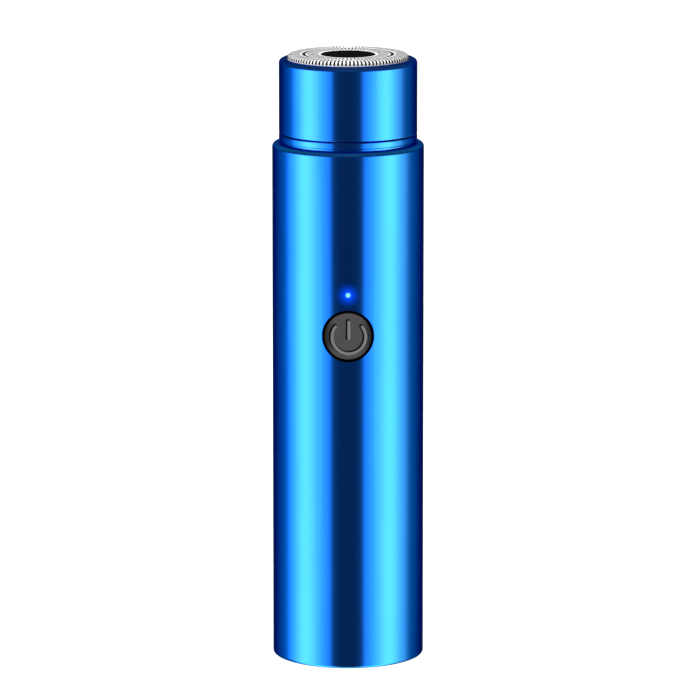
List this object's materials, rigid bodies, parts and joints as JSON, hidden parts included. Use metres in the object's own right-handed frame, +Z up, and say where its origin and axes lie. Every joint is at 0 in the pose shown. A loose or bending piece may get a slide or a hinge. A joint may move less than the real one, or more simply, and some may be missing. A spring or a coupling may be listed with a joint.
{
  "type": "electric shaver",
  "caption": "Pocket rotary electric shaver: round blue metal handle tube with a power button and indicator light, pull-off head and a floating slotted steel foil over a spinning cutter.",
  "frame": {"origin": "middle of the foot, where the shaver stands on its base", "axes": "+Z up along the handle's axis towards the foil; the power button and the light face -Y; +X to the right of the button"},
  "size_m": [0.03, 0.03, 0.1209],
  "materials": {
    "anodised_blue": "satin blue anodised, fine grain",
    "anodised_blue_head": "satin blue anodised",
    "black_plastic": "fine moulded texture",
    "grey_plastic": "moulded",
    "white_plastic": "moulded",
    "button_plastic": "soft satin, sunk power mark",
    "gloss_black": "polished",
    "clear_light": "clear light pipe, lit blue",
    "foil_steel": "satin steel",
    "blade_steel": "ground steel",
    "screw_steel": "zinc plated",
    "can_steel": "zinc plated",
    "socket_steel": "plated sheet",
    "shaft_steel": "ground",
    "core_steel": "laminated",
    "spring_steel": "drawn wire",
    "magnet": "sintered",
    "copper": "enamelled wire",
    "bronze": "sintered bronze",
    "nickel_strip": "nickel strip",
    "cell_wrap": "shrink sleeve",
    "board_green": "solder mask",
    "chip_black": "moulded",
    "ferrite": "ferrite",
    "ceramic_tan": "fired",
    "rubber_black": "moulded",
    "wire_red": "insulation",
    "wire_black": "insulation"
  },
  "bodies": {
    "handle": {"body_tube": "anodised_blue", "neck_ring": "anodised_blue_head", "base_cap": "black_plastic", "base_screws": "screw_steel", "inner_frame": "grey_plastic", "motor_holder": "black_plastic", "holder_screws": "screw_steel", "board_screws": "screw_steel", "neck_o_ring": "rubber_black", "shaft_seal": "rubber_black", "motor_can": "can_steel", "motor_end_cap": "white_plastic", "motor_terminals": "bronze", "motor_magnets": "magnet", "motor_bushes": "bronze", "motor_brushes": "bronze", "motor_screws": "screw_steel", "battery_cell": "cell_wrap", "cell_positive_tab": "nickel_strip", "cell_negative_tab": "nickel_strip", "circuit_board": "board_green", "charge_chip": "chip_black", "inductor": "ferrite", "capacitors": "ceramic_tan", "usb_shell": "socket_steel", "usb_tongue": "black_plastic", "tactile_switch": "chip_black", "led_chip": "white_plastic", "led_lens": "clear_light", "button_guide": "black_plastic", "cell_positive_wire": "wire_red", "cell_negative_wire": "wire_black", "motor_positive_wire": "wire_red", "motor_negative_wire": "wire_black"},
    "rotor": {"motor_shaft": "shaft_steel", "armature_core": "core_steel", "armature_windings": "copper", "commutator": "copper", "drive_sleeve": "white_plastic", "spindle_spring": "spring_steel"},
    "spindle": {"drive_spindle": "white_plastic"},
    "button": {"button_cap": "button_plastic"},
    "plunger": {"switch_plunger": "grey_plastic"},
    "head": {"head_cap": "anodised_blue_head", "blade_retainer": "black_plastic"},
    "foil": {"foil": "foil_steel", "foil_cap": "gloss_black"},
    "cutter": {"cutter_wheel": "blade_steel", "cutter_hub": "white_plastic"}
  },
  "joints": [
    {"name": "head_lift", "type": "slide", "parent": "handle", "child": "head", "axis": [0, 0, 1], "range_m": [0, 0.03]},
    {"name": "foil_float", "type": "slide", "parent": "head", "child": "foil", "axis": [0, 0, -1], "range_m": [0, 0.0008], "stiffness_N_per_m": 800, "springref_m": -0.001},
    {"name": "rotor_spin", "type": "hinge", "parent": "handle", "child": "rotor", "pos_m": [0, 0, 0.09], "axis": [0, 0, 1], "continuous": true},
    {"name": "cutter_spin", "type": "hinge", "parent": "foil", "child": "cutter", "pos_m": [0, 0, 0.1175], "axis": [0, 0, 1], "continuous": true},
    {"name": "spindle_float", "type": "slide", "parent": "rotor", "child": "spindle", "axis": [0, 0, -1], "range_m": [0, 0.0008], "deforming": ["spindle_spring"]},
    {"name": "button_press", "type": "slide", "parent": "handle", "child": "button", "axis": [0, 1, 0], "range_m": [0, 0.0005], "stiffness_N_per_m": 1500, "springref_m": -0.0004},
    {"name": "plunger_press", "type": "slide", "parent": "handle", "child": "plunger", "axis": [0, 1, 0], "range_m": [0, 0.0005]}
  ],
  "couplings": [
    {"joint": "cutter_spin", "follows": "rotor_spin", "ratio": 1},
    {"joint": "spindle_float", "follows": "foil_float", "ratio": 1},
    {"joint": "plunger_press", "follows": "button_press", "ratio": 1}
  ]
}
